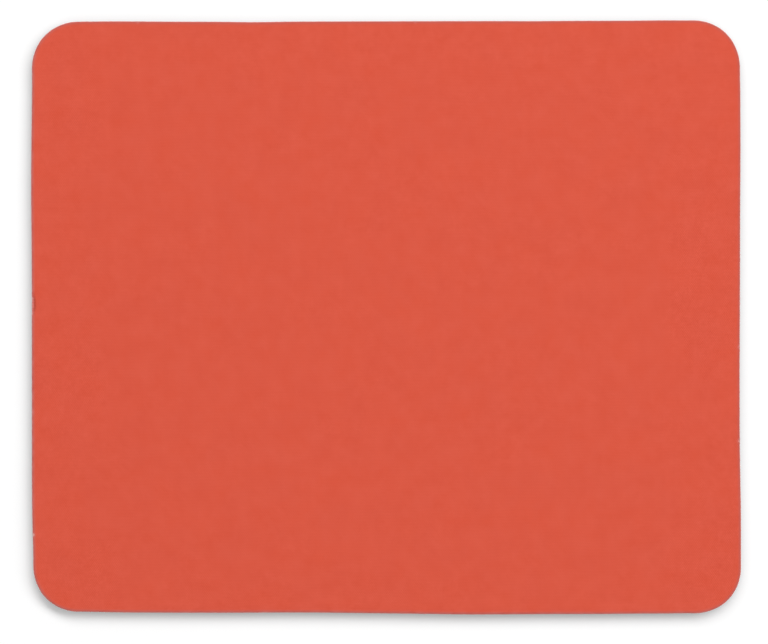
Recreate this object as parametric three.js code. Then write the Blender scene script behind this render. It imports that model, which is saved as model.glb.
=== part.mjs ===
// Cloth-topped mouse pad, cut out of one laminated sheet.
// Millimetres, +Z up. The origin is on the desk under the middle of the pad.
// +X runs along the longer side and +Y towards the back edge.

import * as THREE from 'three';

// The pad's outline, seen from above
const padWidth = 235;
const padDepth = 196.4;
const cornerRadius = 15.5;

// The four layers, from the desk up
const gripThickness = 0.5;
const coreThickness = 2;
const filmThickness = 0.1;
const clothThickness = 0.4;

// The cut edge. The rubber keeps the pad's full outline, and what lies inside it is inset from there
const gripEdgeRadius = 0.2; // rounded lower edge of the grip skin
const coreHollowDepth = 0.12; // shallow hollow that the blade leaves halfway up the sponge's wall
const clothDrawIn = 0.15; // the cloth and its film shrink back from the rubber after the cut
const clothEdgeRadius = 0.25; // rounded upper edge of the cloth

// Smoothness of the curves, in steps
const cornerSteps = 18;
const edgeSteps = 5;
const hollowSteps = 8;

// Where each layer lies
const coreHeight = gripThickness;
const filmHeight = coreHeight + coreThickness;
const clothHeight = filmHeight + filmThickness;

const rubberColour = '#2b2a2a';
const materials = {
  cloth: new THREE.MeshStandardMaterial({ color: '#da5a45', roughness: 0.9, metalness: 0 }),
  film: new THREE.MeshStandardMaterial({ color: '#b8a79a', roughness: 0.45, metalness: 0 }),
  sponge: new THREE.MeshStandardMaterial({ color: rubberColour, roughness: 0.95, metalness: 0 }),
  grip: new THREE.MeshStandardMaterial({ color: rubberColour, roughness: 0.7, metalness: 0 }),
};

// One loop of the pad's outline moved inwards by an inset. The corners keep their centres
function outline(inset) {
  const centreX = padWidth / 2 - cornerRadius;
  const centreY = padDepth / 2 - cornerRadius;
  const radius = cornerRadius - inset;
  const signs = [[1, 1], [-1, 1], [-1, -1], [1, -1]];
  return signs.flatMap(([signX, signY], quarter) => {
    const start = quarter * Math.PI / 2;
    const corner = new THREE.EllipseCurve(
      signX * centreX, signY * centreY, radius, radius, start, start + Math.PI / 2);
    return corner.getPoints(cornerSteps);
  });
}

// A closed sheet. Its wall climbs through the profile's steps, each a height and an inset
function sheet(profile) {
  const loops = profile.map((step) => outline(step.inset));
  const loopSize = loops[0].length;
  const positions = loops.flatMap((loop, level) => (
    loop.flatMap((point) => [point.x, point.y, profile[level].height])));

  const faces = [];
  for (let level = 1; level < loops.length; level++) {
    for (let place = 0; place < loopSize; place++) {
      const next = (place + 1) % loopSize;
      const below = (level - 1) * loopSize;
      const above = level * loopSize;
      faces.push(below + place, below + next, above + next);
      faces.push(below + place, above + next, above + place);
    }
  }

  const lastLoop = (loops.length - 1) * loopSize;
  for (const [a, b, c] of THREE.ShapeUtils.triangulateShape(loops[0], [])) {
    faces.push(c, b, a);
    faces.push(lastLoop + a, lastLoop + b, lastLoop + c);
  }

  const geometry = new THREE.BufferGeometry();
  geometry.setAttribute('position', new THREE.Float32BufferAttribute(positions, 3));
  geometry.setIndex(faces);
  return geometry;
}

// Steps of a quarter round that starts on the flat lower face and ends on the upright wall
function lowerRound(radius, inset) {
  return Array.from({ length: edgeSteps + 1 }, (unused, step) => {
    const angle = (step / edgeSteps) * Math.PI / 2;
    return {
      height: radius * (1 - Math.cos(angle)),
      inset: inset + radius * (1 - Math.sin(angle)),
    };
  });
}

// The same quarter round turned over, from the wall to an upper face at the given height
function upperRound(radius, inset, height) {
  return lowerRound(radius, inset)
    .map((step) => ({ height: height - step.height, inset: step.inset }))
    .reverse();
}

function gripSkin() {
  return sheet([
    ...lowerRound(gripEdgeRadius, 0),
    { height: gripThickness, inset: 0 },
  ]);
}

function foamCore() {
  return sheet(Array.from({ length: hollowSteps + 1 }, (unused, step) => {
    const rise = step / hollowSteps;
    return {
      height: rise * coreThickness,
      inset: coreHollowDepth * Math.sin(rise * Math.PI),
    };
  }));
}

function bondingFilm() {
  return sheet([
    { height: 0, inset: clothDrawIn },
    { height: filmThickness, inset: clothDrawIn },
  ]);
}

function clothTop() {
  return sheet([
    { height: 0, inset: clothDrawIn },
    ...upperRound(clothEdgeRadius, clothDrawIn, clothThickness),
  ]);
}

function layer(name, geometry, material, height) {
  const mesh = new THREE.Mesh(geometry, material);
  mesh.name = name;
  mesh.position.z = height;
  return mesh;
}

const mousePad = new THREE.Group();
mousePad.add(layer('grip_skin', gripSkin(), materials.grip, 0));
mousePad.add(layer('foam_core', foamCore(), materials.sponge, coreHeight));
mousePad.add(layer('bonding_film', bondingFilm(), materials.film, filmHeight));
mousePad.add(layer('cloth_top', clothTop(), materials.cloth, clothHeight));

export default mousePad;
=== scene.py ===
import math
from collections import namedtuple

import bmesh
import bpy
from mathutils import Matrix, Vector, noise


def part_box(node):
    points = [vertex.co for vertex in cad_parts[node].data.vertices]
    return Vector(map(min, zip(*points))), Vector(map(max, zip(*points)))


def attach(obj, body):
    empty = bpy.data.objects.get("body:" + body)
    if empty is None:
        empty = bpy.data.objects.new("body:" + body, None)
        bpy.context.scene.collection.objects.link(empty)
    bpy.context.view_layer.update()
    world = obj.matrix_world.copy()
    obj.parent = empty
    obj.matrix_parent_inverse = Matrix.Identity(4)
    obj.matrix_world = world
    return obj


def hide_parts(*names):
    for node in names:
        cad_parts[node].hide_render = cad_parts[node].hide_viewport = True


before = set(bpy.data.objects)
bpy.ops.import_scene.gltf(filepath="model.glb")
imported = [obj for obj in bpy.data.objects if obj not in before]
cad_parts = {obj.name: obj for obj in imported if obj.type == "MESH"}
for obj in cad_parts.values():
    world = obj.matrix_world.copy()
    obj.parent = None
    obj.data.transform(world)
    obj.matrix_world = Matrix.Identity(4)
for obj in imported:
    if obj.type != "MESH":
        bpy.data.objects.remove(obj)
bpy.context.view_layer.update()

# A cloth-topped mouse pad on a white table, seen from straight above.
# Lengths are in metres, and MM turns a size in millimetres into metres.

MM = 0.001
TURN = 2 * math.pi
STRIDE = 7.3  # a step in a noise from one yarn or fibre to the next
FAR = 50.0  # a step in a noise to a part that looks nothing like the first

# Where the pad's four layers lie
CLOTH_LOW, CLOTH_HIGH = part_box("cloth_top")
FILM_LOW, FILM_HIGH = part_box("bonding_film")
CORE_LOW, CORE_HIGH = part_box("foam_core")
GRIP_LOW, GRIP_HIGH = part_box("grip_skin")

# The cut outline
HALF_WIDTH = GRIP_HIGH.x
HALF_DEPTH = GRIP_HIGH.y
CORNER_RADIUS = 15.5 * MM
CORNER_X = HALF_WIDTH - CORNER_RADIUS
CORNER_Y = HALF_DEPTH - CORNER_RADIUS
CLOTH_INSET = HALF_WIDTH - CLOTH_HIGH.x

# The pad's sides, as the camera sees it. Two of them added name a corner
LEFT, RIGHT = Vector((-1, 0)), Vector((1, 0))
FRONT, BACK = Vector((0, -1)), Vector((0, 1))
SIDE_MATCH = 0.99  # a direction that points this much to a side belongs to it

# Where the knife strayed from the true outline: a side or corner, then in mm how far along the
# side from its middle, how far that reaches, and how far outwards it went
KNIFE_SWELLS = (
    (BACK, -90, 17, 0.21),
    (BACK + LEFT, 0, 7, 0.15),
    (BACK, -43, 9, -0.17),
    (BACK, 49, 9, -0.07),
    (BACK, 93, 8, 0.08),
    (BACK + RIGHT, 0, 8, 0.15),
    (RIGHT, 87, 9, -0.17),
    (RIGHT, 56, 15, 0.11),
    (RIGHT, -20, 25, -0.1),
    (RIGHT, -64, 15, 0.27),
    (RIGHT, -83, 16, 0.3),
    (FRONT + RIGHT, 0, 9, 0.2),
    (FRONT, 103, 10, -0.42),
    (FRONT, 86, 12, -0.18),
    (FRONT, 30, 19, 0.26),
    (FRONT, -27, 21, -0.2),
    (FRONT, -101, 11, -0.22),
    (LEFT, -82, 13, -0.43),
    (LEFT, 44, 18, 0.22),
    (LEFT, 78, 10, -0.13),
)
KNIFE_RIPPLE = 0.02 * MM
KNIFE_RIPPLE_LENGTH = 2.5 * MM

# The weave: warp yarns run from front to back, weft yarns from side to side
WARP_PITCH = 0.354 * MM
WEFT_PITCH = 0.481 * MM
FILAMENT_SIZE = 0.035 * MM
FILAMENT_RUN = 0.5 * MM  # how far a filament shows before it dives under others
SLUB_LENGTH = 1.6 * MM  # how far a thicker or paler stretch of a yarn runs
WEAVE_DEPTH = 0.03 * MM
WARP_CRIMP = 0.5  # how far each yarn rises and falls over the others, as a share of that depth
WEFT_CRIMP = 0.2
YARN_SWELL = 0.4  # how far a yarn's middle stands over its sides, as such a share
YARN_ROUNDNESS = 0.6
WANDER = 2.5  # how far the yarns wander from their even spacing, in yarns
WANDER_LENGTH = 33 * MM

# The cloth's face and its rim, which the knife pressed down
FACE_SPACING = 1.1 * MM
FACE_WAVE = 0.012 * MM
FACE_WAVE_LENGTH = 14 * MM
RIM_PRESS = 0.02 * MM
RIM_REACH = 0.8 * MM
RIM_ROUND = 0.14 * MM
RIM_WORKED = 1.5 * MM
RIM_STEP = 0.1 * MM
# how far in the rim is painted duller, partly as the shade of its rounded edge
RIM_DULL_SHADE_REACH = 1 * MM
ROUND_STEPS = 5
WIDE_STEPS = 10
CORNER_STEPS = 24

# A groove at the left rim, where the cloth was nicked and has frayed
GROOVE_FRONT = 1.8 * MM
GROOVE_BACK = 6.6 * MM
GROOVE_INSET = 0.82 * MM
GROOVE_BOW = 0.28 * MM  # how much nearer the cut its ends lie than its middle
GROOVE_HALF_WIDTH = 0.42 * MM
GROOVE_DEPTH = 0.24 * MM
GROOVE_WOBBLE = 0.15 * MM
GROOVE_BEADS = 0.5  # share by which every second weft yarn fills it
GROOVE_TAIL = 1.0 * MM  # how far a fainter part goes on past its ends
GROOVE_FAINT = 0.4  # that part's share of the depth
GROOVE_END = 0.2 * MM  # how softly it and the strip beside it end
GROOVE_SPACING = 0.25 * MM  # of the rows of points there, and how far they go on past it
GROOVE_SPARE = 1.2 * MM

# The strip of cloth between the groove and the cut, which is frayed pale
STRIP_FRONT = 0.7 * MM
STRIP_BACK = 6.8 * MM
STRIP_FRAY = 0.52
STRIP_BEADS = 0.7  # share by which that is more on every second weft yarn, and less between
STRIP_REACH = 0.5 * MM
STRIP_END_PALE = 2.3  # how much paler its yarn ends are

# The fray all along the rim, and painted light that makes the left and front rims paler
FRAY_REACH = 0.7 * MM
FRAY_LENGTH = 2.2 * MM
FRAYED = 0.2  # how pale the rim is in its frayed stretches
FRAY_AND_LIGHT_PULL = Vector((-0.32, -0.14))  # the left and front sides are paler by this: partly fray, partly painted light on the sides that face away from the lamp
FRAY_EVEN = 0.5  # share of that which is the same all along, the rest comes in patches

# Short stretches where the yarns are torn: side, then in mm how far along it and half their
# length, and how pale they are. The first two are at the ends of the frayed strip
STRIP_TEARS = (
    (LEFT, 6.3, 0.8, 0.2),
    (LEFT, 1.4, 0.7, 0.2),
)
RIM_TEARS = (
    (LEFT, 47.2, 0.6, 0.25),
    (LEFT, -31.6, 0.7, 0.35),
    (LEFT, -72.4, 0.6, 1.0),
    (RIGHT, -9.8, 0.5, 0.7),
    (RIGHT, -40.8, 0.45, 1.0),
    (BACK, -82.1, 0.3, 0.8),
    (BACK, 10.1, 0.3, 0.6),
)
TORN_REACH = 0.7 * MM

Station = namedtuple("Station", "base outward drift")


# The outline

def evenly(start, end, spacing):
    """Places from start to end, as near to that spacing as fits."""
    steps = max(1, round((end - start) / spacing))
    return [start + (end - start) * step / steps for step in range(steps + 1)]


def faded(away, reach):
    """1 at no distance, falling softly to 0 past a reach."""
    return math.exp(-(away / reach) ** 2)


def slow_noise(place, length):
    return noise.noise(Vector((*place, 0)) / length)


def rim_place(side, along):
    """A place on the true outline: so many mm along a side from its middle, or a corner's middle."""
    if side.x and side.y:
        return Vector((side.x * CORNER_X, side.y * CORNER_Y)) + side.normalized() * CORNER_RADIUS
    middle = Vector((side.x * HALF_WIDTH, side.y * HALF_DEPTH))
    return middle + Vector((abs(side.y), abs(side.x))) * along * MM


def knife_drift(place):
    """How far outwards the cut lies from the true outline at a place on it."""
    drift = KNIFE_RIPPLE * slow_noise(place, KNIFE_RIPPLE_LENGTH)
    for side, along, reach, outwards in KNIFE_SWELLS:
        away = (place - rim_place(side, along)).length
        drift += outwards * MM * faded(away, reach * MM)
    return drift


def round_trip(xs, ys, corner_steps):
    """Stations anticlockwise round the outline. Each has the nearest point of the rectangle
    between the corners' centres, the way outwards from there, and the knife's drift."""
    sides = (
        [Vector((xs[-1], y)) for y in ys],
        [Vector((x, ys[-1])) for x in reversed(xs)],
        [Vector((xs[0], y)) for y in reversed(ys)],
        [Vector((x, ys[0])) for x in xs],
    )
    trip = []
    for quarter, bases in enumerate(sides):
        for base in bases:
            trip.append((base, quarter * TURN / 4))
        for step in range(1, corner_steps):
            trip.append((bases[-1], (quarter + step / corner_steps) * TURN / 4))
    stations = []
    for base, heading in trip:
        outward = Vector((math.cos(heading), math.sin(heading)))
        drift = knife_drift(base + outward * CORNER_RADIUS)
        stations.append(Station(base, outward, drift))
    return stations


def even_trip(spacing):
    """Stations at an even spacing on the straight sides and round the corners."""
    xs = evenly(-CORNER_X, CORNER_X, spacing)
    ys = evenly(-CORNER_Y, CORNER_Y, spacing)
    return round_trip(xs, ys, round(CORNER_RADIUS * TURN / 4 / spacing))


def outline_point(station, inset):
    """The point of the outline, moved inwards by an inset. The knife's drift fades out inwards."""
    fade = 1 - inset / CORNER_RADIUS
    return station.base + station.outward * (CORNER_RADIUS - inset + station.drift * fade)


def loop_at(trip, inset, height):
    return [Vector((*outline_point(station, inset), height)) for station in trip]


# Meshes

MERGE_REACH = 0.001 * MM


def new_piece(name, points, faces=()):
    mesh = bpy.data.meshes.new(name)
    mesh.from_pydata(points, [], faces)
    mesh.update()
    piece = bpy.data.objects.new(name, mesh)
    bpy.context.scene.collection.objects.link(piece)
    return piece


def mark_points(piece, **marks):
    """Gives each point of a piece its numbers or vectors, each list under its own name."""
    for name, values in marks.items():
        if isinstance(values[0], float):
            attribute = piece.data.attributes.new(name, "FLOAT", "POINT")
            attribute.data.foreach_set("value", values)
        else:
            attribute = piece.data.attributes.new(name, "FLOAT_VECTOR", "POINT")
            attribute.data.foreach_set("vector", [part for value in values for part in value])


def wall_faces(size, levels):
    """Faces between loops of that many points, which run anticlockwise. They face outwards
    where the loops climb, and upwards where the loops draw in."""
    faces = []
    for level in range(1, levels):
        below = (level - 1) * size
        above = level * size
        for place in range(size):
            onward = (place + 1) % size
            faces.append((below + place, below + onward, above + onward, above + place))
    return faces


def closed_slab(name, loops):
    """A closed piece whose wall climbs through the loops, with a flat face below and above."""
    size = len(loops[0])
    last = (len(loops) - 1) * size
    faces = wall_faces(size, len(loops))
    faces.append(tuple(reversed(range(size))))
    faces.append(tuple(range(last, last + size)))
    return new_piece(name, [point for loop in loops for point in loop], faces)


def merge_doubles(piece):
    merged = bmesh.new()
    merged.from_mesh(piece.data)
    bmesh.ops.remove_doubles(merged, verts=merged.verts, dist=MERGE_REACH)
    merged.to_mesh(piece.data)
    merged.free()


# The cloth

def on_left_side(station):
    return station is not None and station.outward.dot(LEFT) > SIDE_MATCH


def soft_stretch(y, front, back):
    """1 from front to back, falling softly to 0 past them."""
    into_it = min(y - front, back - y)
    return 1 / (1 + math.exp(-into_it / GROOVE_END))


def along_groove(y):
    """1 along the groove at the left rim, fainter past its ends, and then 0."""
    deep = soft_stretch(y, GROOVE_FRONT, GROOVE_BACK)
    faint = soft_stretch(y, GROOVE_FRONT - GROOVE_TAIL, GROOVE_BACK + GROOVE_TAIL)
    return deep * (1 - GROOVE_FAINT) + faint * GROOVE_FAINT


def along_strip(station, y):
    """1 along the frayed strip between the groove and the cut, and 0 elsewhere."""
    return soft_stretch(y, STRIP_FRONT, STRIP_BACK) if on_left_side(station) else 0.0


def weft_bead(y):
    """1 on every second weft yarn, and 0 midway between them."""
    return (1 - math.cos(math.pi * y / WEFT_PITCH)) / 2


def groove_share(station, place, inset):
    """How much of the groove's depth there is at a place on the face."""
    if not on_left_side(station):
        return 0.0
    along = (2 * place.y - GROOVE_FRONT - GROOVE_BACK) / (GROOVE_BACK - GROOVE_FRONT)
    middle = GROOVE_INSET - GROOVE_BOW * min(1.0, along * along)
    middle += GROOVE_WOBBLE * noise.noise(Vector((place.y / MM, 0, 0)))
    unfilled = 1 - GROOVE_BEADS * weft_bead(place.y)
    return faded(inset - middle, GROOVE_HALF_WIDTH) * along_groove(place.y) * unfilled


def strip_fray(station, place, inset):
    """How pale that strip is, most on every second weft yarn."""
    beaded = 1 + STRIP_BEADS * (2 * weft_bead(place.y) - 1)
    return STRIP_FRAY * beaded * along_strip(station, place.y) * faded(inset, STRIP_REACH)


def torn_share(station, inset):
    """How pale a torn place has made the yarns: most at its middle, and falling off past its ends
    and away from the cut."""
    cut = station.base + station.outward * CORNER_RADIUS
    palest = 0.0
    for side, along, half, paleness in STRIP_TEARS + RIM_TEARS:
        away = (cut - rim_place(side, along)).length
        palest = max(palest, paleness * faded(away, half * MM))
    return palest * faded(inset, TORN_REACH)


def fray_share(station, place, inset):
    """How much paler the rim is: the fray of the cut, most on the left and where the yarns are torn,
    and painted light on the left and front sides, which face away from the lamp.
    """
    strength = max(0.0, FRAYED + station.outward.dot(FRAY_AND_LIGHT_PULL))
    patchy = max(0.0, FRAY_EVEN + slow_noise(place, FRAY_LENGTH))
    along = strength * patchy * faded(inset, FRAY_REACH)
    return min(1.0, along + strip_fray(station, place, inset) + torn_share(station, inset))


def eased(share):
    """A share held between 0 and 1, with a soft start and a soft end."""
    share = min(1.0, max(0.0, share))
    return share * share * (3 - 2 * share)


def cloth_height(station, place, inset):
    """Height of the cloth's face, a given inset from the cut edge."""
    height = CLOTH_HIGH.z
    height += FACE_WAVE * slow_noise(place, FACE_WAVE_LENGTH)
    height -= RIM_PRESS * faded(inset, RIM_REACH)
    return height - GROOVE_DEPTH * groove_share(station, place, inset)


def lines_between(start, end, fine_stretches):
    """Places from start to end at the face's spacing, closer together in the fine stretches."""
    lines = [start]
    for low, high, spacing in sorted(fine_stretches):
        lines += evenly(lines[-1], low, FACE_SPACING)[1:]
        lines += evenly(low, high, spacing)[1:]
    return lines + evenly(lines[-1], end, FACE_SPACING)[1:]


def cloth_lines():
    """Columns and rows of points on the face, closer together at the groove and the torn places."""
    columns, rows = [], [(GROOVE_FRONT - GROOVE_SPARE, GROOVE_BACK + GROOVE_SPARE, GROOVE_SPACING)]
    for side, along, half, _ in RIM_TEARS:
        lines = rows if side.x else columns
        lines.append(((along - 2 * half) * MM, (along + 2 * half) * MM, half * MM / 2))
    return lines_between(-CORNER_X, CORNER_X, columns), lines_between(-CORNER_Y, CORNER_Y, rows)


def cloth_insets():
    """Insets of the loops on the face: close together on the pressed rim, then ever wider."""
    close = evenly(CLOTH_INSET + RIM_ROUND, RIM_WORKED, RIM_STEP)
    rest = CORNER_RADIUS - RIM_WORKED
    shares = [step / WIDE_STEPS for step in range(1, WIDE_STEPS + 1)]
    return close + [RIM_WORKED + rest * share ** 2 for share in shares]


def cloth_sheet():
    """The dyed cloth: a face that is pressed down at the rim, a rounded edge and a flat back."""
    xs, ys = cloth_lines()
    trip = round_trip(xs, ys, CORNER_STEPS)
    points, weave, rim, nick, fray = [], [], [], [], []

    def add_loop(inset, height_at, unrolled):
        for station in trip:
            place = outline_point(station, inset)
            points.append((*place, height_at(station, place)))
            weave.append((*(place + station.outward * unrolled), 0.0))
            # The rim band that is painted duller, partly as the shade of its rounded edge
            rim.append(eased(1 - (inset - CLOTH_INSET) / RIM_DULL_SHADE_REACH))
            nick.append(groove_share(station, place, inset))
            fray.append(fray_share(station, place, inset))

    shoulder_inset = CLOTH_INSET + RIM_ROUND
    for step in range(ROUND_STEPS + 1):
        angle = step / ROUND_STEPS * TURN / 4
        inset = shoulder_inset - RIM_ROUND * math.cos(angle)
        drop = RIM_ROUND * (1 - math.sin(angle))
        if step == 0:
            add_loop(inset, lambda *spot: CLOTH_LOW.z, 2 * RIM_ROUND)
        if step < ROUND_STEPS:
            add_loop(inset, lambda *spot: cloth_height(*spot, shoulder_inset) - drop, drop)
    insets = cloth_insets()
    for inset in insets:
        add_loop(inset, lambda *spot: cloth_height(*spot, inset), 0.0)

    size = len(trip)
    faces = wall_faces(size, len(points) // size)
    faces.append(tuple(reversed(range(size))))
    first = len(points)
    for y in ys:
        for x in xs:
            place = Vector((x, y))
            points.append((x, y, cloth_height(None, place, CORNER_RADIUS)))
            weave.append((x, y, 0.0))
            for marks in (rim, nick, fray):
                marks.append(0.0)
    for row in range(len(ys) - 1):
        for column in range(len(xs) - 1):
            near = first + row * len(xs) + column
            far = near + len(xs)
            faces.append((near, near + 1, far + 1, far))

    piece = new_piece("cloth_face", points, faces)
    mark_points(piece, weave=weave, rim=rim, nick=nick, fray=fray)
    merge_doubles(piece)
    piece.data.shade_smooth()
    return piece


# Node trees

class Board:
    """A node tree, with short ways to add nodes and to join them."""

    def __init__(self, tree):
        self.tree = tree

    def feed(self, socket, value):
        if isinstance(value, bpy.types.NodeSocket):
            self.tree.links.new(value, socket)
        else:
            socket.default_value = value

    def add(self, kind, inputs=None, **settings):
        node = self.tree.nodes.new(kind)
        for name, value in settings.items():
            setattr(node, name, value)
        for name, value in (inputs or {}).items():
            self.feed(self.find(node.inputs, name), value)
        return node

    def first(self, kind, inputs=None, **settings):
        """The first output of a new node."""
        return self.add(kind, inputs, **settings).outputs[0]

    def fed(self, kind, *values, **settings):
        """The first output of a new node whose inputs are fed in their order."""
        node = self.add(kind, **settings)
        for socket, value in zip(node.inputs, values):
            self.feed(socket, value)
        return node.outputs[0]

    def connect(self, node, **inputs):
        """Feeds a node's inputs by their names, which have _ for a space here."""
        for name, value in inputs.items():
            self.feed(node.inputs[name.replace("_", " ")], value)
        return node.outputs

    def find(self, sockets, name):
        """The socket of that name that the node uses in its present setting."""
        return next(socket for socket in sockets if socket.name == name and socket.enabled)

    def math(self, operation, *values):
        return self.fed("ShaderNodeMath", *values, operation=operation)

    def plus(self, first, second):
        return self.math("ADD", first, second)

    def minus(self, first, second):
        return self.math("SUBTRACT", first, second)

    def times(self, first, second):
        return self.math("MULTIPLY", first, second)

    def over(self, first, second):
        return self.math("DIVIDE", first, second)

    def shifted(self, vector, offset):
        return self.fed("ShaderNodeVectorMath", vector, offset, operation="ADD")

    def scaled(self, vector, factor):
        parts = {"Vector": vector, "Scale": factor}
        return self.first("ShaderNodeVectorMath", parts, operation="SCALE")

    def combine(self, x=0.0, y=0.0, z=0.0):
        return self.fed("ShaderNodeCombineXYZ", x, y, z)

    def separate(self, vector):
        return self.add("ShaderNodeSeparateXYZ", {"Vector": vector}).outputs

    def spread(self, value, low, high, new_low=0.0, new_high=1.0):
        """A value's range stretched to a new one, and held there."""
        sizes = {"Value": value, "From Min": low, "From Max": high, "To Min": new_low, "To Max": new_high}
        return self.first("ShaderNodeMapRange", sizes)

    def noise(self, vector, scale=1.0, detail=2.0, roughness=0.5):
        sizes = {"Vector": vector, "Scale": scale, "Detail": detail, "Roughness": roughness}
        return self.first("ShaderNodeTexNoise", sizes)

    def cells(self, vector, scale):
        return self.add("ShaderNodeTexVoronoi", {"Vector": vector, "Scale": scale}).outputs

    def blend(self, factor, first, second, kind="RGBA"):
        """A colour with another laid over it by a factor, or the same with plain values."""
        parts = {"Factor": factor, "A": first, "B": second}
        return self.find(self.add("ShaderNodeMix", parts, data_type=kind).outputs, "Result")

    def layered(self, colour, *layers):
        """A colour with others laid over it in turn. Each layer is a factor and its colour."""
        for factor, upper in layers:
            colour = self.blend(factor, colour, upper)
        return colour


def paint(code):
    """A colour written as #rrggbb, as the shaders take it. The numbers are the sRGB standard's."""
    parts = [int(code[start:start + 2], 16) / 255 for start in (1, 3, 5)]
    linear = [part / 12.92 if part <= 0.04045 else ((part + 0.055) / 1.055) ** 2.4 for part in parts]
    return (*linear, 1.0)


def node_group(name, kind, inputs, outputs):
    """An empty node group, and the sockets where it starts. Its inputs and outputs are named
    under the kinds of their sockets."""
    tree = bpy.data.node_groups.new(name, kind)
    for in_out, sockets in (("INPUT", inputs), ("OUTPUT", outputs)):
        for socket_type, labels in sockets.items():
            for label in labels:
                tree.interface.new_socket(label, in_out=in_out, socket_type="NodeSocket" + socket_type)
    board = Board(tree)
    return board, board.add("NodeGroupInput").outputs


# Geometry Nodes: yarn ends, fibres, sponge cells and grip studs

def geometry_tree(name, sizes):
    shape = {"Geometry": ["Geometry"]}
    inputs = {**shape, "Float": sizes, "Int": ["Seed"], "Material": ["Material"]}
    return node_group(name, "GeometryNodeTree", inputs, shape)


def end_tree(board, geometry, start):
    real = board.first("GeometryNodeRealizeInstances", {"Geometry": geometry})
    parts = {"Geometry": real, "Material": start["Material"]}
    finished = board.first("GeometryNodeSetMaterial", parts)
    board.add("NodeGroupOutput", {"Geometry": finished})
    return board.tree


def named(board, attribute):
    node = board.add("GeometryNodeInputNamedAttribute", data_type="FLOAT")
    node.inputs["Name"].default_value = attribute
    return board.find(node.outputs, "Attribute")


def random_number(board, low, high, seed):
    sizes = {"Min": low, "Max": high, "Seed": seed}
    node = board.add("FunctionNodeRandomValue", sizes, data_type="FLOAT")
    return board.find(node.outputs, "Value")


def turned(board, x, y, z):
    return board.first("FunctionNodeEulerToRotation", {"Euler": board.combine(x, y, z)})


def planted(board, points, shape, rotation, scale):
    sizes = {"Points": points, "Instance": shape, "Rotation": rotation, "Scale": scale}
    return board.first("GeometryNodeInstanceOnPoints", sizes)


def grow(piece, tree, sizes, material, seed):
    """Runs a geometry tree on a piece and keeps the result as its plain mesh."""
    modifier = piece.modifiers.new(tree.name, "NODES")
    modifier.node_group = tree
    values = dict(sizes, Seed=seed, Material=material)
    for item in tree.interface.items_tree:
        if item.in_out == "INPUT" and item.name in values:
            modifier[item.identifier] = values[item.name]
    evaluated = piece.evaluated_get(bpy.context.evaluated_depsgraph_get())
    mesh = bpy.data.meshes.new_from_object(evaluated)
    piece.modifiers.remove(modifier)
    piece.data = mesh
    mesh.name = piece.name
    return piece


def yarn_end_tree():
    """Plants a stub of yarn on each point, pointing along the point's heading."""
    board, start = geometry_tree("yarn_ends", ("Reach", "Girth", "Height", "Unevenness"))
    ball = {"Segments": STUB_SEGMENTS, "Rings": STUB_RINGS, "Radius": 0.5}
    stub = board.first("GeometryNodeMeshUVSphere", ball)
    smooth = board.first("GeometryNodeSetShadeSmooth", {"Geometry": stub})
    low = board.minus(1.0, start["Unevenness"])
    high = board.plus(1.0, start["Unevenness"])
    reach = board.times(start["Reach"], random_number(board, low, high, start["Seed"]))
    reach = board.times(reach, named(board, "reach"))
    girth = board.times(start["Girth"], named(board, "girth"))
    next_seed = board.plus(start["Seed"], 1.0)
    sway = random_number(board, -STUB_SWAY, STUB_SWAY, next_seed)
    heading = board.plus(named(board, "heading"), sway)
    rotation = turned(board, 0.0, sway, heading)
    scale = board.combine(reach, girth, start["Height"])
    stubs = planted(board, start["Geometry"], smooth, rotation, scale)
    return end_tree(board, stubs, start)


def fibre_tree():
    """Plants a thin, bent fibre on each point, roughly along the point's heading."""
    board, start = geometry_tree("loose_fibres", ("Shortest", "Longest", "Thickness", "Lift"))
    bent = {"Start": (0, 0, 0), "Middle": FIBRE_BEND, "End": FIBRE_TIP, "Resolution": FIBRE_STEPS}
    line = board.first("GeometryNodeCurveQuadraticBezier", bent)
    radius = board.over(start["Thickness"], start["Longest"])
    round_it = {"Resolution": FIBRE_SIDES, "Radius": radius}
    ring = board.first("GeometryNodeCurvePrimitiveCircle", round_it)
    parts = {"Curve": line, "Profile Curve": ring, "Fill Caps": True}
    fibre = board.first("GeometryNodeCurveToMesh", parts)
    seeds = [board.plus(start["Seed"], float(step)) for step in range(4)]
    length = random_number(board, start["Shortest"], start["Longest"], seeds[0])
    aside = random_number(board, -FIBRE_SPREAD, FIBRE_SPREAD, seeds[1])
    yaw = board.plus(named(board, "heading"), aside)
    roll = random_number(board, 0.0, TURN, seeds[2])
    pitch = random_number(board, board.times(start["Lift"], -1.0), start["Lift"], seeds[3])
    rotation = turned(board, roll, pitch, yaw)
    fibres = planted(board, start["Geometry"], fibre, rotation, length)
    return end_tree(board, fibres, start)


def sponge_tree():
    """Cuts open cells into a wall, away from its upper and lower edge."""
    board, start = geometry_tree("open_cells", ("Cell Size", "Depth", "Floor", "Ceiling", "Margin"))
    place = board.first("GeometryNodeInputPosition")
    cells = board.cells(place, board.over(1.0, start["Cell Size"]))
    hollow = board.spread(cells["Distance"], CELL_EDGE, CELL_FLOOR)
    height = board.separate(place)["Z"]
    above = board.minus(height, start["Floor"])
    below = board.minus(start["Ceiling"], height)
    inside = board.math("MINIMUM", above, below)
    kept = board.spread(inside, 0.0, start["Margin"])
    depth = board.times(board.times(hollow, kept), start["Depth"])
    normal = board.first("GeometryNodeInputNormal")
    inwards = board.scaled(normal, board.times(depth, -1.0))
    moved = {"Geometry": start["Geometry"], "Offset": inwards}
    cut = board.first("GeometryNodeSetPosition", moved)
    return end_tree(board, cut, start)


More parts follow.
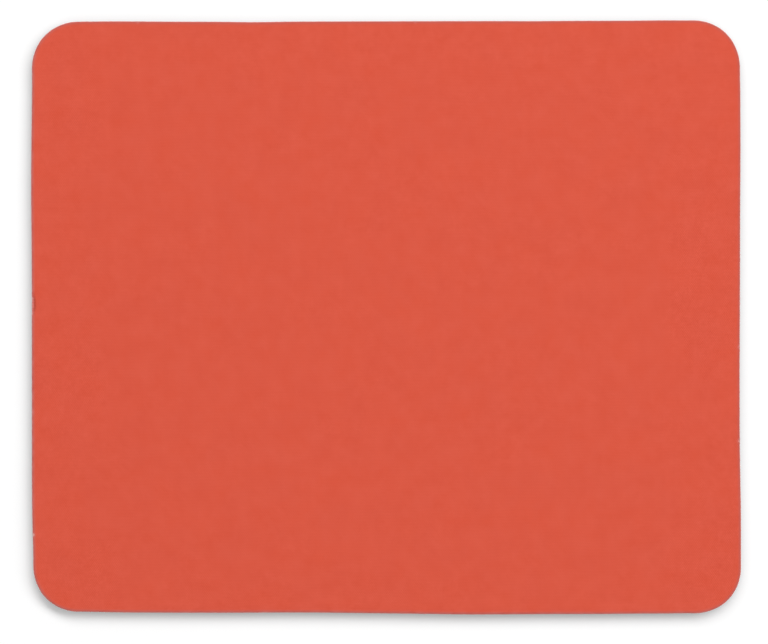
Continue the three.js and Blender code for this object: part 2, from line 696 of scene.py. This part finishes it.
def stud_tree():
    """Adds diamond studs under a slab, in staggered rows that stop short of the cut edge."""
    names = ("Pitch", "Tip", "Foot", "Drop", "Half Width", "Half Depth", "Corner Radius", "Margin")
    board, start = geometry_tree("grip_studs", names)
    pitch = start["Pitch"]
    lattices = []
    for shift in (0.0, 0.5):
        across, along = [board.times(start[half], 2.0) for half in ("Half Width", "Half Depth")]
        columns, rows = [board.math("FLOOR", board.over(size, pitch)) for size in (across, along)]
        sizes = {
            "Size X": board.times(columns, pitch),
            "Size Y": board.times(rows, pitch),
            "Vertices X": board.plus(columns, 1.0),
            "Vertices Y": board.plus(rows, 1.0),
        }
        grid = board.first("GeometryNodeMeshGrid", sizes)
        points = board.first("GeometryNodeMeshToPoints", {"Mesh": grid})
        aside = board.times(pitch, shift)
        offset = {"Geometry": points, "Offset": board.combine(aside, aside)}
        lattices.append(board.first("GeometryNodeSetPosition", offset))
    lattice = board.add("GeometryNodeJoinGeometry")
    for points in lattices:
        board.feed(lattice.inputs[0], points)

    place = board.separate(board.first("GeometryNodeInputPosition"))
    beyond = []
    for axis, half in (("X", "Half Width"), ("Y", "Half Depth")):
        centre = board.minus(start[half], start["Corner Radius"])
        past = board.minus(board.math("ABSOLUTE", place[axis]), centre)
        beyond.append(board.math("MAXIMUM", past, 0.0))
    squares = [board.times(side, side) for side in beyond]
    away = board.math("SQRT", board.plus(*squares))
    limit = board.minus(start["Corner Radius"], start["Margin"])
    outside = board.math("GREATER_THAN", away, limit)
    parts = {"Geometry": lattice.outputs[0], "Selection": outside}
    kept = board.first("GeometryNodeDeleteGeometry", parts, domain="POINT")

    diamond = {
        "Vertices": 4, "Depth": start["Drop"],
        "Radius Bottom": start["Tip"], "Radius Top": start["Foot"],
    }
    stud = board.first("GeometryNodeMeshCone", diamond)
    one = board.combine(1.0, 1.0, 1.0)
    studs = planted(board, kept, stud, turned(board, 0.0, 0.0, 0.0), one)
    joined = board.add("GeometryNodeJoinGeometry")
    board.feed(joined.inputs[0], studs)
    board.feed(joined.inputs[0], start["Geometry"])
    return end_tree(board, joined.outputs[0], start)


# Yarn ends and fibres along the cut

STUB_SIZES = {
    "Reach": 0.48 * MM,
    "Girth": 1.0,  # share of the yarn's pitch
    "Height": 0.2 * MM,
    "Unevenness": 0.15,
}
STUB_SEGMENTS = 8
STUB_RINGS = 5
STUB_SWAY = 0.35  # how far an end may turn aside or up, in radians
STUB_INSET = 0.12 * MM
STUB_RISE = 0.045 * MM
STUB_LEVEL = CLOTH_LOW.z + 0.19 * MM
STUB_STAGGER = 0.08  # share by which every second end is longer, and its neighbours shorter
STUB_LEAN = 0.1  # the knife pulled the ends out on the left, and cut them short on the right
STEEPEST_CROSSING = 1.0  # yarns that meet the cut more obliquely than this end inside it

FIBRE_COUNT = 900
FIBRE_SPACING = 0.5 * MM
FIBRE_SIZES = {"Shortest": 0.15 * MM, "Longest": 0.7 * MM, "Thickness": 0.012 * MM, "Lift": 0.6}
FIBRE_BEND = (0.5, 0.15, 0.02)  # the middle and the tip of a fibre one long, from its root
FIBRE_TIP = (0.85, 0.5, 0.1)
FIBRE_STEPS = 6
FIBRE_SIDES = 3
FIBRE_SPREAD = 1.3  # how far a fibre may turn aside, in radians

TUFT_FIBRES = 30  # to a millimetre of torn rim
TUFT_SIZES = {"Shortest": 0.2 * MM, "Longest": 0.55 * MM, "Thickness": 0.03 * MM, "Lift": 0.25}
TUFT_INSET = 0.28 * MM
TUFT_LEVEL = CLOTH_HIGH.z - 0.05 * MM
TUFT_STRIDE = 3.7  # a step in a noise from one of its fibres to the next


def yarn_crossings(pitch, half_length, centre, centre_across, turn_it):
    """Where the yarns of one direction meet the cut: base, outward and the yarn's number.
    turn_it turns a pair along and across the yarn into x and y."""
    crossings = []
    for number in range(-int(half_length / pitch), int(half_length / pitch)):
        across = (number + 0.5) * pitch
        past = max(0.0, abs(across) - centre)
        if past > CORNER_RADIUS * math.sin(STEEPEST_CROSSING):
            continue
        tilt = math.asin(past / CORNER_RADIUS)
        for end in (1, -1):
            aside = math.copysign(min(abs(across), centre), across)
            base = Vector(turn_it(end * centre_across, aside))
            outward = Vector(turn_it(end * math.cos(tilt), math.copysign(math.sin(tilt), across)))
            crossings.append((base, outward, number))
    return crossings


def grown_outwards(name, points, outwards, tree, sizes, material, seed, **marks):
    """A piece that a tree grows on points, each with the way outwards and its other marks."""
    piece = new_piece(name, points)
    headings = [math.atan2(outward.y, outward.x) for outward in outwards]
    mark_points(piece, heading=headings, **marks)
    return grow(piece, tree, sizes, material, seed)


def yarn_ends(material):
    """The cut ends of the yarns, every second one higher than its neighbours."""
    warp = yarn_crossings(WARP_PITCH, HALF_WIDTH, CORNER_X, CORNER_Y, lambda *pair: pair[::-1])
    weft = yarn_crossings(WEFT_PITCH, HALF_DEPTH, CORNER_Y, CORNER_X, lambda *pair: pair)
    points, outwards, girths, reaches, paler = [], [], [], [], []
    for crossings, pitch in ((warp, WARP_PITCH), (weft, WEFT_PITCH)):
        for base, outward, number in crossings:
            drift = knife_drift(base + outward * CORNER_RADIUS)
            station = Station(base, outward, drift)
            place = outline_point(station, STUB_INSET)
            side = 1.0 if number % 2 else -1.0
            points.append((*place, STUB_LEVEL + side * STUB_RISE))
            paler.append(side + STRIP_END_PALE * along_strip(station, place.y))
            outwards.append(outward)
            girths.append(pitch)
            reaches.append((1 - STUB_LEAN * outward.x) * (1 + side * STUB_STAGGER))
    return grown_outwards(
        "yarn_ends", points, outwards, yarn_end_tree(), STUB_SIZES, material, seed=11,
        girth=girths, reach=reaches, paler=paler)


def loose_fibres(tree, material):
    """Fine fibres that stand out of the cut edge of the cloth."""
    trip = even_trip(FIBRE_SPACING)
    points, outwards = [], []
    for number in range(FIBRE_COUNT):
        step = number * len(trip) / FIBRE_COUNT
        jump = slow_noise((number * STRIDE, 0), 1) * len(trip) / FIBRE_COUNT
        station = trip[int(step + jump) % len(trip)]
        points.append((*outline_point(station, CLOTH_INSET), STUB_LEVEL))
        outwards.append(station.outward)
    return grown_outwards("loose_fibres", points, outwards, tree, FIBRE_SIZES, material, seed=23)


def torn_tufts(tree, material):
    """Tufts of pale fibres where the rim's yarns are torn."""
    points, outwards = [], []
    for side, along, half, paleness in STRIP_TEARS + RIM_TEARS:
        middle = rim_place(side, along)
        onward = Vector((-side.y, side.x))
        count = round(2 * half * paleness * TUFT_FIBRES)
        for step in range(count):
            place = middle + onward * half * MM * (2 * (step + 0.5) / count - 1)
            station = Station(place - side * CORNER_RADIUS, side, knife_drift(place))
            inset = TUFT_INSET * (1 + noise.noise(Vector((*(middle / MM), step * TUFT_STRIDE))))
            points.append((*outline_point(station, inset), TUFT_LEVEL))
            outwards.append(side)
    return grown_outwards("torn_tufts", points, outwards, tree, TUFT_SIZES, material, seed=41)


# The layers under the cloth

FILM_SPACING = 0.6 * MM
FILM_SQUEEZE = 0.07 * MM
FILM_SQUEEZE_LENGTH = 3 * MM
FILM_FLANK = 0.6  # how far it bulges at its faces, as a share of the bulge at its middle
FILM_EVEN = 0.5  # share of the squeeze that is the same all along

CELL_SPACING = 0.135 * MM
CELL_SIZE = 0.38 * MM
CELL_DEPTH = 0.13 * MM
CELL_MARGIN = 0.15 * MM
CELL_EDGE = 0.5  # where a cell's hollow starts, and where it is deepest, from the cell's middle
CELL_FLOOR = 0.25
CORE_HOLLOW = 0.12 * MM

SLAB_LEVEL = GRIP_LOW.z + 0.25 * MM
SLAB_ROUND = 0.1 * MM
ROUND_MIDWAY = 0.3  # how far from its two faces the middle of a round edge lies, in radii
SLAB_SPACING = 1 * MM
STUD_PITCH = 2.7 * MM
STUD_FOOT = 1.15 * MM
STUD_TIP = 0.85 * MM
STUD_SUNK = 0.05 * MM
STUD_MARGIN = 1.5 * MM
TIP_WEAR = 0.04 * MM


def bonding_line():
    """The film of glue, squeezed out a little unevenly at the cut."""
    trip = even_trip(FILM_SPACING)
    middle = (FILM_LOW.z + FILM_HIGH.z) / 2
    loops = []
    for height, bulge in ((FILM_LOW.z, FILM_FLANK), (middle, 1.0), (FILM_HIGH.z, FILM_FLANK)):
        loop = []
        for station in trip:
            place = outline_point(station, CLOTH_INSET)
            squeeze = slow_noise(place, FILM_SQUEEZE_LENGTH) + FILM_EVEN
            place += station.outward * FILM_SQUEEZE * bulge * squeeze
            loop.append(Vector((*place, height)))
        loops.append(loop)
    return closed_slab("bonding_line", loops)


def sponge_core(material):
    """The sponge rubber. The knife left a shallow hollow in its wall and laid its cells open."""
    trip = even_trip(CELL_SPACING)
    loops = []
    for height in evenly(CORE_LOW.z, CORE_HIGH.z, CELL_SPACING):
        rise = (height - CORE_LOW.z) / (CORE_HIGH.z - CORE_LOW.z)
        loops.append(loop_at(trip, CORE_HOLLOW * math.sin(rise * math.pi), height))
    piece = closed_slab("sponge_core", loops)
    sizes = {
        "Cell Size": CELL_SIZE, "Depth": CELL_DEPTH, "Margin": CELL_MARGIN,
        "Floor": CORE_LOW.z, "Ceiling": CORE_HIGH.z,
    }
    return grow(piece, sponge_tree(), sizes, material, seed=0)


def grip_base(material):
    """The denser rubber that faces the desk, with its diamond studs."""
    trip = even_trip(SLAB_SPACING)
    loops = [
        loop_at(trip, SLAB_ROUND, SLAB_LEVEL),
        loop_at(trip, SLAB_ROUND * ROUND_MIDWAY, SLAB_LEVEL + SLAB_ROUND * ROUND_MIDWAY),
        loop_at(trip, 0.0, SLAB_LEVEL + SLAB_ROUND),
        loop_at(trip, 0.0, GRIP_HIGH.z),
    ]
    piece = closed_slab("grip_base", loops)
    sizes = {
        "Pitch": STUD_PITCH, "Tip": STUD_TIP, "Foot": STUD_FOOT,
        "Drop": SLAB_LEVEL + STUD_SUNK - GRIP_LOW.z, "Margin": STUD_MARGIN,
        "Half Width": HALF_WIDTH, "Half Depth": HALF_DEPTH, "Corner Radius": CORNER_RADIUS,
    }
    return grow(piece, stud_tree(), sizes, material, seed=0)


# Shader node groups

MOTTLE_DETAIL = 4.0
MOTTLE_ROUGHNESS = 0.95
HUE_ASIDE = (31.0, 17.0, 5.0)
HUE_SCALE = 0.6
GRAIN_DETAIL = 3.0
GRAIN_ROUGHNESS = 0.6
PORE_RANGE = (0.4, 0.1)  # from a pore's edge to its floor, in grains from its middle
PORE_DEPTH = 0.6
SPECK_RANGE = (0.16, 0.06)  # the same for a speck of dust, in its spacing


def shader_group(name, sizes, results):
    inputs = {"Vector": ["Vector"], "Float": sizes}
    return node_group(name, "ShaderNodeTree", inputs, {"Float": results})


def weave_group():
    """Plain weave from the flat cloth's own coordinates: each yarn passes over one and under
    the next. It gives the height, where the weft lies on top, a tone for each stretch of yarn,
    and the streaks of its filaments."""
    sizes = (
        "Warp Pitch", "Weft Pitch", "Wander", "Wander Length",
        "Filament Size", "Filament Run", "Slub Length",
    )
    board, start = shader_group("plain_weave", sizes, ("Height", "Weft", "Yarn Tone", "Filaments"))
    place = board.separate(start["Vector"])
    wander_scale = board.over(1.0, start["Wander Length"])
    yarns = []
    for axis, pitch, far in (("X", "Warp Pitch", 0.0), ("Y", "Weft Pitch", FAR)):
        aside = board.shifted(start["Vector"], (far, far, far))
        wander = board.minus(board.noise(aside, wander_scale, 1.0), 0.5)
        shift = board.times(wander, start["Wander"])
        yarns.append(board.plus(board.over(place[axis], start[pitch]), shift))
    u, v = yarns
    sine_u, sine_v = [board.math("SINE", board.times(yarn, math.pi)) for yarn in yarns]
    x = board.times(u, start["Warp Pitch"])
    y = board.times(v, start["Weft Pitch"])

    def yarn_height(across, along, crimp):
        """Rounded across the yarn, and rising and falling along it."""
        section = board.math("POWER", board.math("ABSOLUTE", across), YARN_ROUNDNESS)
        lifted = board.times(board.times(board.math("SIGN", across), along), crimp)
        return board.math("MULTIPLY_ADD", section, YARN_SWELL, lifted)

    warp = yarn_height(sine_u, sine_v, WARP_CRIMP)
    weft = yarn_height(sine_v, sine_u, -WEFT_CRIMP)
    weft_on_top = board.math("GREATER_THAN", weft, warp)

    def yarn_tone(yarn, along, far):
        """A tone that differs from yarn to yarn, and changes slowly along each."""
        number = board.math("MULTIPLY_ADD", board.math("FLOOR", yarn), STRIDE, far)
        run = board.over(along, start["Slub Length"])
        return board.noise(board.combine(number, run, far), 1.0, 1.0)

    def streaks(across, along):
        """Fine lines that run along the yarn."""
        side = board.over(across, start["Filament Size"])
        run = board.over(along, start["Filament Run"])
        return board.noise(board.combine(side, run), 1.0, 1.0)

    tones = (yarn_tone(u, y, 0.5), yarn_tone(v, x, FAR + 0.5))
    board.add("NodeGroupOutput", {
        "Height": board.math("MAXIMUM", warp, weft),
        "Weft": weft_on_top,
        "Yarn Tone": board.blend(weft_on_top, *tones, "FLOAT"),
        "Filaments": board.blend(weft_on_top, streaks(x, y), streaks(y, x), "FLOAT"),
    })
    return board.tree


def mottle_group():
    """Soft patches, the largest of the size that is given with ever smaller ones in them, and
    wider patches of another hue."""
    board, start = shader_group("mottle", ("Patch Size",), ("Tone", "Hue"))
    scaled = board.scaled(start["Vector"], board.over(1.0, start["Patch Size"]))
    tone = board.noise(scaled, 1.0, MOTTLE_DETAIL, MOTTLE_ROUGHNESS)
    hue = board.noise(board.shifted(scaled, HUE_ASIDE), HUE_SCALE, 2.0)
    board.add("NodeGroupOutput", {"Tone": tone, "Hue": hue})
    return board.tree


def grain_group():
    """The fine grain of moulded or cut rubber, with pores in it."""
    board, start = shader_group("rubber_grain", ("Grain Size",), ("Height", "Pores"))
    scale = board.over(1.0, start["Grain Size"])
    grain = board.noise(board.scaled(start["Vector"], scale), 1.0, GRAIN_DETAIL, GRAIN_ROUGHNESS)
    pores = board.spread(board.cells(start["Vector"], scale)["Distance"], *PORE_RANGE)
    height = board.minus(grain, board.times(pores, PORE_DEPTH))
    board.add("NodeGroupOutput", {"Height": height, "Pores": pores})
    return board.tree


def dust_group():
    """Scattered specks of dust: a mask that is 1 on a speck."""
    board, start = shader_group("dust", ("Spacing", "Share"), ("Specks",))
    cells = board.cells(start["Vector"], board.over(1.0, start["Spacing"]))
    dot = board.spread(cells["Distance"], *SPECK_RANGE)
    shown = board.math("LESS_THAN", board.separate(cells["Color"])["X"], start["Share"])
    board.add("NodeGroupOutput", {"Specks": board.times(dot, shown)})
    return board.tree


WEAVE = weave_group()
MOTTLE = mottle_group()
GRAIN = grain_group()
DUST = dust_group()


# Materials

CORAL = paint("#d95139")
# Painted shade for the weave's gaps, between filaments, in the groove and in the yarn ends' pores
CORAL_SHADE = paint("#ab3a29")
CORAL_LIGHT = paint("#e96550")
CORAL_WARM = paint("#dc5136")
# Partly the cut rim's own dull tone, partly painted shade of its rounded edge
CORAL_DULL_SHADE = paint("#a06464")
CORAL_WORN = paint("#e08e88")
CORAL_PALE = paint("#fad9d3")
CORAL_END = paint("#dc6450")
CORAL_END_PALE = paint("#e3857a")
GLUE = paint("#b8a79a")
GLUE_DARK = paint("#8d7b6e")
RUBBER = paint("#2b2a2a")
RUBBER_GREY = paint("#3c3a39")
# Painted shade in the rubber's pores and open cells
RUBBER_SHADE = paint("#121111")
RUBBER_WORN = paint("#5a5755")
RUBBER_DUSTY = paint("#6f6a66")

MOST = (0.3, 0.7)  # the range that most of a noise's values lie in, and a narrower one
MIDDLING = (0.35, 0.65)

PATCH_SIZE = 7 * MM
PATCH_LIGHT = (-0.09, 0.43)  # how light the darkest and the lightest patches of the cloth are
YARN_LIGHT = 0.28
# how much paler the weft is where it lies on top: partly painted sheen, partly its own tone
WEFT_SHEEN_AND_TONE = 0.275
STREAK_SHADE_RANGE = (0.35, 0.7, 0.25, 0.0)  # from between two filaments to one's top, and how dark the painted shade between them is
GAP_SHADE_RANGE = (0.3, 0.05, 0.0, 0.5)  # from a gap's edge to its floor in the weave, and how dark the painted shade in it is
# how much duller the rim is, partly as painted shade of its rounded edge
RIM_DULL_SHADE = 0.42
# how dark the painted shade in the groove is
NICK_SHADE = 0.9
FRAY_SHOWS = (0.45, 0.95)  # how much of the fray shows on the warp and on the weft
TORN_RANGE = (0.6, 1.0, 0.0, 0.7)  # where the fray is palest, and how pale that is
CLOTH_ROUGHNESS = (0.78, 0.92)
FILAMENT_DEPTH = 0.01 * MM

YARN_PATCH_SIZE = 0.7 * MM
YARN_TONES = (0.2, 0.8)
PALER_STEP = 0.3  # how much paler every second yarn end is than its neighbours' average
# how dark the painted shade in the pores between the filaments' ends is
YARN_PORE_SHADE = 0.4

GLUE_PATCH_SIZE = 2 * MM
GLUE_GRAIN = 0.08 * MM
GLUE_DEPTH = 0.01 * MM

RUBBER_PATCH_SIZE = 6 * MM
DUST_SPACING = 0.9 * MM
# how dark the painted shade in the pores is
RUBBER_PORE_SHADE = 0.5
DUST_SHOWS = 0.5
ROUGHNESS_SPREAD = 0.08
OPEN_CELL_SHADE_RANGE = (0.44, 0.32, 0.0, 0.85)  # from a cell's edge to its floor, and how dark the painted shade in it is
TIP_PALENESS = 0.6


def new_material(name, **fixed):
    """A material with one Principled shader, whose fixed values are set on its own sockets."""
    material = bpy.data.materials.new(name)
    material.use_nodes = True
    board = Board(material.node_tree)
    shader = material.node_tree.nodes["Principled BSDF"]
    for socket, value in fixed.items():
        shader.inputs[socket.replace("_", " ")].default_value = value
    return material, board, shader


def placed(board, group, **inputs):
    """A shader group in a material, with its own values."""
    return board.connect(board.add("ShaderNodeGroup", node_tree=group), **inputs)


def own_place(board):
    return board.add("ShaderNodeTexCoord").outputs["Object"]


def patches_and_grain(board, patch_size, grain_size):
    """Mottle and grain of those sizes over the piece's own place."""
    place = own_place(board)
    patches = placed(board, MOTTLE, Vector=place, Patch_Size=patch_size)
    return patches, placed(board, GRAIN, Vector=place, Grain_Size=grain_size)


def marked(board, name, kind="Fac"):
    """What the points of the surface were marked with under that name."""
    return board.add("ShaderNodeAttribute", attribute_name=name).outputs[kind]


def bump(board, height, distance, **before):
    node = board.add("ShaderNodeBump")
    return board.connect(node, Height=height, Distance=distance, **before)["Normal"]


def coral_cloth():
    """Dyed polyester in plain weave. The knife left its rim duller, and the duller band is partly painted
    shade of the rounded edge. Its left rim is frayed.
    """
    material, board, shader = new_material(
        "coral_cloth", Sheen_Weight=0.1, Sheen_Roughness=0.45, Sheen_Tint=CORAL_LIGHT,
        Specular_IOR_Level=0.2)
    flat = marked(board, "weave", "Vector")
    rim, nick, fray = [marked(board, name) for name in ("rim", "nick", "fray")]
    weave = placed(
        board, WEAVE, Vector=flat, Warp_Pitch=WARP_PITCH, Weft_Pitch=WEFT_PITCH,
        Wander=WANDER, Wander_Length=WANDER_LENGTH,
        Filament_Size=FILAMENT_SIZE, Filament_Run=FILAMENT_RUN, Slub_Length=SLUB_LENGTH)
    patches = placed(board, MOTTLE, Vector=flat, Patch_Size=PATCH_SIZE)

    yarn_light = board.times(weave["Yarn Tone"], YARN_LIGHT)
    # The weft on top is paler: partly painted sheen, partly its own tone
    weft_sheen_and_tone = board.times(weave["Weft"], WEFT_SHEEN_AND_TONE)
    patch_light = board.spread(patches["Tone"], *MOST, *PATCH_LIGHT)
    fray_shows = board.spread(weave["Weft"], 0.0, 1.0, *FRAY_SHOWS)
    colour = board.layered(
        CORAL,
        (board.spread(patches["Hue"], *MOST), CORAL_WARM),
        (board.plus(board.plus(yarn_light, weft_sheen_and_tone), patch_light), CORAL_LIGHT),
        # Painted shade between the filaments
        (board.spread(weave["Filaments"], *STREAK_SHADE_RANGE), CORAL_SHADE),
        # Painted shade in the gaps between the yarns
        (board.spread(weave["Height"], *GAP_SHADE_RANGE), CORAL_SHADE),
        # A duller band at the cut: partly its own tone, partly painted shade of the rounded edge
        (board.times(rim, RIM_DULL_SHADE), CORAL_DULL_SHADE),
        # Painted shade in the groove at the left rim
        (board.times(nick, NICK_SHADE), CORAL_SHADE),
        # Pale fray at the rim, with painted light on the left and front sides, which face away from the
        # lamp
        (board.times(fray, fray_shows), CORAL_WORN),
        (board.spread(fray, *TORN_RANGE), CORAL_PALE),
    )
    roughness = board.spread(weave["Filaments"], *MOST, *CLOTH_ROUGHNESS)
    normal = bump(board, weave["Height"], WEAVE_DEPTH)
    normal = bump(board, weave["Filaments"], FILAMENT_DEPTH, Normal=normal)
    board.connect(shader, Base_Color=colour, Roughness=roughness, Normal=normal)
    return material


def coral_yarn(name, base, tip):
    """Loose ends of the same yarn. The grain is that of the filaments' own ends."""
    material, board, shader = new_material(
        name, Sheen_Weight=0.1, Specular_IOR_Level=0.15, Roughness=0.88)
    patches, grain = patches_and_grain(board, YARN_PATCH_SIZE, FILAMENT_SIZE)
    tone = board.spread(patches["Tone"], *MIDDLING, *YARN_TONES)
    tone = board.math("MULTIPLY_ADD", marked(board, "paler"), PALER_STEP, tone)
    # Painted shade in the pores between the filaments' ends
    pores = board.times(grain["Pores"], YARN_PORE_SHADE)
    colour = board.layered(base, (tone, tip), (pores, CORAL_SHADE))
    board.connect(shader, Base_Color=colour, Normal=bump(board, grain["Height"], FILAMENT_SIZE / 2))
    return material


def glue_film():
    """Milky hot-melt glue, darker where it is thin over the rubber."""
    material, board, shader = new_material("bonding_film", Roughness=0.45, Specular_IOR_Level=0.4)
    patches, grain = patches_and_grain(board, GLUE_PATCH_SIZE, GLUE_GRAIN)
    colour = board.blend(board.spread(patches["Tone"], *MIDDLING), GLUE, GLUE_DARK)
    board.connect(shader, Base_Color=colour, Normal=bump(board, grain["Height"], GLUE_DEPTH))
    return material


def black_rubber(name, grain_size, depth, roughness, dust_share, marks):
    """Black rubber with a grain, painted shade in its pores, faint patches and a little dust. marks
    gives one more layer for it, as a factor and its colour, from the board and the place."""
    material, board, shader = new_material(name, Specular_IOR_Level=0.35)
    patches, grain = patches_and_grain(board, RUBBER_PATCH_SIZE, grain_size)
    place = own_place(board)
    dust = placed(board, DUST, Vector=place, Spacing=DUST_SPACING, Share=dust_share)
    colour = board.layered(
        RUBBER_GREY,
        (board.spread(patches["Tone"], *MOST), RUBBER),
        # Painted shade in the pores
        (board.times(grain["Pores"], RUBBER_PORE_SHADE), RUBBER_SHADE),
        marks(board, place),
        (board.times(dust["Specks"], DUST_SHOWS), RUBBER_DUSTY),
    )
    rough = board.spread(patches["Tone"], *MOST, roughness, roughness + ROUGHNESS_SPREAD)
    normal = bump(board, grain["Height"], depth)
    board.connect(shader, Base_Color=colour, Roughness=rough, Normal=normal)
    return material


def sponge_marks(board, place):
    """Painted shade in the open cells, which lie where the wall's own hollows are."""
    cells = board.cells(place, 1 / CELL_SIZE)
    return board.spread(cells["Distance"], *OPEN_CELL_SHADE_RANGE), RUBBER_SHADE


def grip_marks(board, place):
    """Tips of the studs, rubbed pale by the desk."""
    height = board.separate(place)["Z"]
    worn = board.spread(height, GRIP_LOW.z + TIP_WEAR, GRIP_LOW.z, 0.0, TIP_PALENESS)
    return worn, RUBBER_WORN


# The table, the lamps and the camera

FLOOR_REACH = 0.8  # how far the table goes on past the pad
FLOOR_OPENING = 3 * MM
FLOOR_SPACING = 8 * MM
FLOOR_WHITE = 0.9
FLOOR_GLOW = 0.147
GLOW_FADE_START = 0.25
GLOW_FADE_END = 0.8

AMBIENT = 0.5  # share of the light that comes evenly from all round
KEY_ELEVATION = math.radians(43)
KEY_AZIMUTH = math.radians(29)  # from the back edge towards the right
KEY_WIDE = math.radians(57)  # half of the angle that the pad sees the lamp fill from side to side
KEY_HIGH = math.radians(13)  # and half of the one from its lower to its upper edge
KEY_DISTANCE = 3.0

CAMERA_DISTANCE = 1.0
CAMERA_NEAR = 0.01
CAMERA_AIM = Vector((-0.25 * MM, -1.48 * MM, CLOTH_HIGH.z))
CAMERA_YAW = math.radians(1.686)
CAMERA_PITCH = math.radians(-0.398)
CAMERA_ROLL = math.radians(0.011)
FRAME_WIDTH = 254.8 * MM  # what the frame takes in across the pad's face
SENSOR_WIDTH = 36.0


def seen_rays(board):
    """1 for the rays that show the background, directly or in a gloss, and 0 for the rest."""
    rays = board.add("ShaderNodeLightPath").outputs
    glossy = board.math("MAXIMUM", rays["Is Glossy Ray"], rays["Is Transmission Ray"])
    return board.math("MAXIMUM", rays["Is Camera Ray"], glossy)


def white_table():
    """A white table top. Its own glow turns it into pure white away from the pad. It is open under
    the pad and can't be seen from below, so that the pad's underside shows in a view from there."""
    trip = [station._replace(drift=0.0) for station in even_trip(FLOOR_SPACING)]
    rims = [loop_at(trip, inset, GRIP_LOW.z) for inset in (-FLOOR_REACH, FLOOR_OPENING)]
    piece = new_piece("table_top", rims[0] + rims[1], wall_faces(len(trip), len(rims)))
    material = bpy.data.materials.new("table_white")
    material.use_nodes = True
    material.node_tree.nodes.clear()
    board = Board(material.node_tree)
    spot = {"Vector": own_place(board)}
    away = board.add("ShaderNodeVectorMath", spot, operation="LENGTH").outputs["Value"]
    glow = board.spread(away, GLOW_FADE_START, GLOW_FADE_END, FLOOR_GLOW, 1.0)
    strength = board.times(seen_rays(board), glow)
    paper = (FLOOR_WHITE, FLOOR_WHITE, FLOOR_WHITE, 1)
    white = board.first("ShaderNodeBsdfDiffuse", {"Color": paper})
    glowing = board.first("ShaderNodeEmission", {"Strength": strength})
    both = board.fed("ShaderNodeAddShader", white, glowing)
    clear = board.first("ShaderNodeBsdfTransparent")
    below = board.add("ShaderNodeNewGeometry").outputs["Backfacing"]
    seen = board.fed("ShaderNodeMixShader", below, both, clear)
    board.add("ShaderNodeOutputMaterial", {"Surface": seen})
    piece.data.materials.append(material)


def even_surroundings():
    """White where the camera sees them, and the even share of the light for all else."""
    world = bpy.data.worlds.new("white_surroundings")
    world.use_nodes = True
    board = Board(world.node_tree)
    strength = board.math("MAXIMUM", seen_rays(board), AMBIENT)
    background = world.node_tree.nodes["Background"]
    background.inputs["Color"].default_value = (1, 1, 1, 1)
    board.feed(background.inputs["Strength"], strength)
    bpy.context.scene.world = world


def soft_key():
    """One long, soft lamp. With the surroundings it lights a level white surface to white."""
    towards = Vector((
        math.cos(KEY_ELEVATION) * math.sin(KEY_AZIMUTH),
        math.cos(KEY_ELEVATION) * math.cos(KEY_AZIMUTH),
        math.sin(KEY_ELEVATION),
    ))
    half_width, half_height = [KEY_DISTANCE * math.tan(spread) for spread in (KEY_WIDE, KEY_HIGH)]
    radiance = (1 - AMBIENT) / (math.sin(KEY_WIDE) * math.sin(KEY_HIGH) * towards.z)
    lamp = bpy.data.lights.new("soft_key", "AREA")
    lamp.shape = "ELLIPSE"
    lamp.size = 2 * half_width
    lamp.size_y = 2 * half_height
    lamp.energy = radiance * math.pi * math.pi * half_width * half_height
    holder = bpy.data.objects.new("soft_key", lamp)
    holder.location = towards * KEY_DISTANCE
    holder.rotation_euler = towards.to_track_quat("Z", "Y").to_euler()
    bpy.context.scene.collection.objects.link(holder)


def overhead_camera():
    """The camera hangs nearly straight above the pad, a little to its right."""
    camera = bpy.data.cameras.new("overhead_camera")
    camera.sensor_width = SENSOR_WIDTH
    camera.lens = SENSOR_WIDTH * CAMERA_DISTANCE / FRAME_WIDTH
    camera.clip_start = CAMERA_NEAR
    holder = bpy.data.objects.new("overhead_camera", camera)
    turn = (
        Matrix.Rotation(CAMERA_YAW, 4, "Y")
        @ Matrix.Rotation(CAMERA_PITCH, 4, "X")
        @ Matrix.Rotation(CAMERA_ROLL, 4, "Z")
    )
    back = turn.to_3x3() @ Vector((0, 0, CAMERA_DISTANCE))
    holder.matrix_world = Matrix.Translation(CAMERA_AIM + back) @ turn
    bpy.context.scene.collection.objects.link(holder)
    bpy.context.scene.camera = holder


# The pad put together

def dress(piece, node):
    """Puts a piece on the pad's body, and hides the plain layer that it stands in for, if there is one.
    """
    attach(piece, "root")
    if node:
        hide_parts(node)


def build_pad():
    cloth = cloth_sheet()
    cloth.data.materials.append(coral_cloth())
    ends = yarn_ends(coral_yarn("coral_yarn_ends", CORAL_END, CORAL_END_PALE))
    fibre = fibre_tree()
    fibres = loose_fibres(fibre, coral_yarn("coral_fibres", CORAL_LIGHT, CORAL_WORN))
    tufts = torn_tufts(fibre, coral_yarn("torn_fibres", CORAL_WORN, CORAL_PALE))
    film = bonding_line()
    film.data.materials.append(glue_film())
    sponge = black_rubber(
        "sponge_rubber", grain_size=0.12 * MM, depth=0.05 * MM, roughness=0.88, dust_share=0.04,
        marks=sponge_marks)
    core = sponge_core(sponge)
    rubber = black_rubber(
        "grip_rubber", grain_size=0.2 * MM, depth=0.02 * MM, roughness=0.62, dust_share=0.08,
        marks=grip_marks)
    grip = grip_base(rubber)

    dress(cloth, "cloth_top")
    for loose in (ends, fibres, tufts):
        dress(loose, None)
    dress(film, "bonding_film")
    dress(core, "foam_core")
    dress(grip, "grip_skin")


overhead_camera()
white_table()
even_surroundings()
soft_key()
build_pad()
bpy.context.scene.view_settings.view_transform = "Standard"
